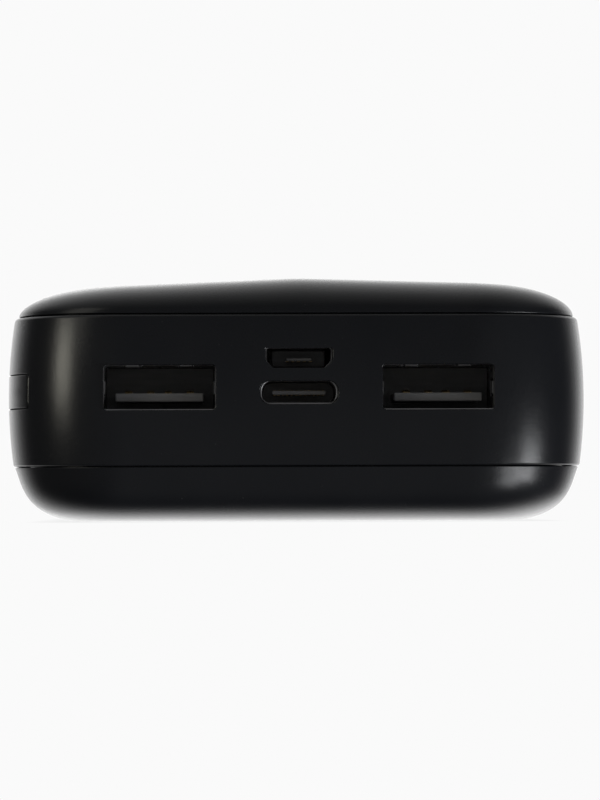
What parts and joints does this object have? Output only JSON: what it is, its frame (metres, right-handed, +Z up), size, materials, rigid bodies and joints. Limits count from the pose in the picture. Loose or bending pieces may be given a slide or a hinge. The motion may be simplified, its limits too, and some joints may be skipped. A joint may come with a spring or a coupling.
{
  "type": "power bank",
  "caption": "Pocket power bank: a black case with USB output sockets and charging inlets in one end, a side power button and charge lights, cells and a board inside.",
  "frame": {"origin": "middle of the flat face that the power bank rests on", "axes": "+Z up through the case, +Y along its length away from the sockets, which are in the end that faces -Y; the power button is on the -X side"},
  "size_m": [0.0664, 0.138, 0.0278],
  "materials": {
    "band_plastic": "satin",
    "cover_plastic": "satin",
    "button_plastic": "satin",
    "socket_plastic": "satin",
    "socket_steel": "satin",
    "contact_gold": "satin",
    "board_green": "satin",
    "cell_foil": "satin",
    "tape_amber": "satin",
    "foam_grey": "matte",
    "strap_nickel": "satin",
    "lead_red": "satin",
    "lead_black": "satin",
    "guide_clear": "gloss",
    "led_white": "satin",
    "chip_epoxy": "matte",
    "ferrite": "matte",
    "can_aluminium": "satin",
    "screw_steel": "satin"
  },
  "bodies": {
    "case": {"board_screw_left": "screw_steel", "board_screw_right": "screw_steel", "bottom_cover": "cover_plastic", "capacitor_1": "can_aluminium", "capacitor_2": "can_aluminium", "cell_tape": "tape_amber", "charge_led_1": "led_white", "charge_led_2": "led_white", "charge_led_3": "led_white", "charge_led_4": "led_white", "controller_chip": "chip_epoxy", "end_foam_block": "foam_grey", "inductor": "ferrite", "light_guide": "guide_clear", "lower_cell": "cell_foil", "lower_foam_pad": "foam_grey", "main_board": "board_green", "micro_usb_insulator": "socket_plastic", "micro_usb_shell": "socket_steel", "middle_band": "band_plastic", "negative_lead": "lead_black", "negative_strap": "strap_nickel", "positive_lead": "lead_red", "positive_strap": "strap_nickel", "power_transistor_1": "chip_epoxy", "power_transistor_2": "chip_epoxy", "switch_body": "socket_steel", "top_cover": "cover_plastic", "upper_cell": "cell_foil", "upper_foam_pad": "foam_grey", "usb_a_contact_left_1": "contact_gold", "usb_a_contact_left_2": "contact_gold", "usb_a_contact_left_3": "contact_gold", "usb_a_contact_left_4": "contact_gold", "usb_a_contact_right_1": "contact_gold", "usb_a_contact_right_2": "contact_gold", "usb_a_contact_right_3": "contact_gold", "usb_a_contact_right_4": "contact_gold", "usb_a_insulator_left": "socket_plastic", "usb_a_insulator_right": "socket_plastic", "usb_a_shell_left": "socket_steel", "usb_a_shell_right": "socket_steel", "usb_c_insulator": "socket_plastic", "usb_c_shell": "socket_steel"},
    "button": {"power_button": "button_plastic", "switch_plunger": "button_plastic"}
  },
  "joints": [
    {"name": "button_press", "type": "slide", "parent": "case", "child": "button", "axis": [1, 0, 0], "range_m": [0, 0.00035], "stiffness_N_per_m": 3000}
  ]
}
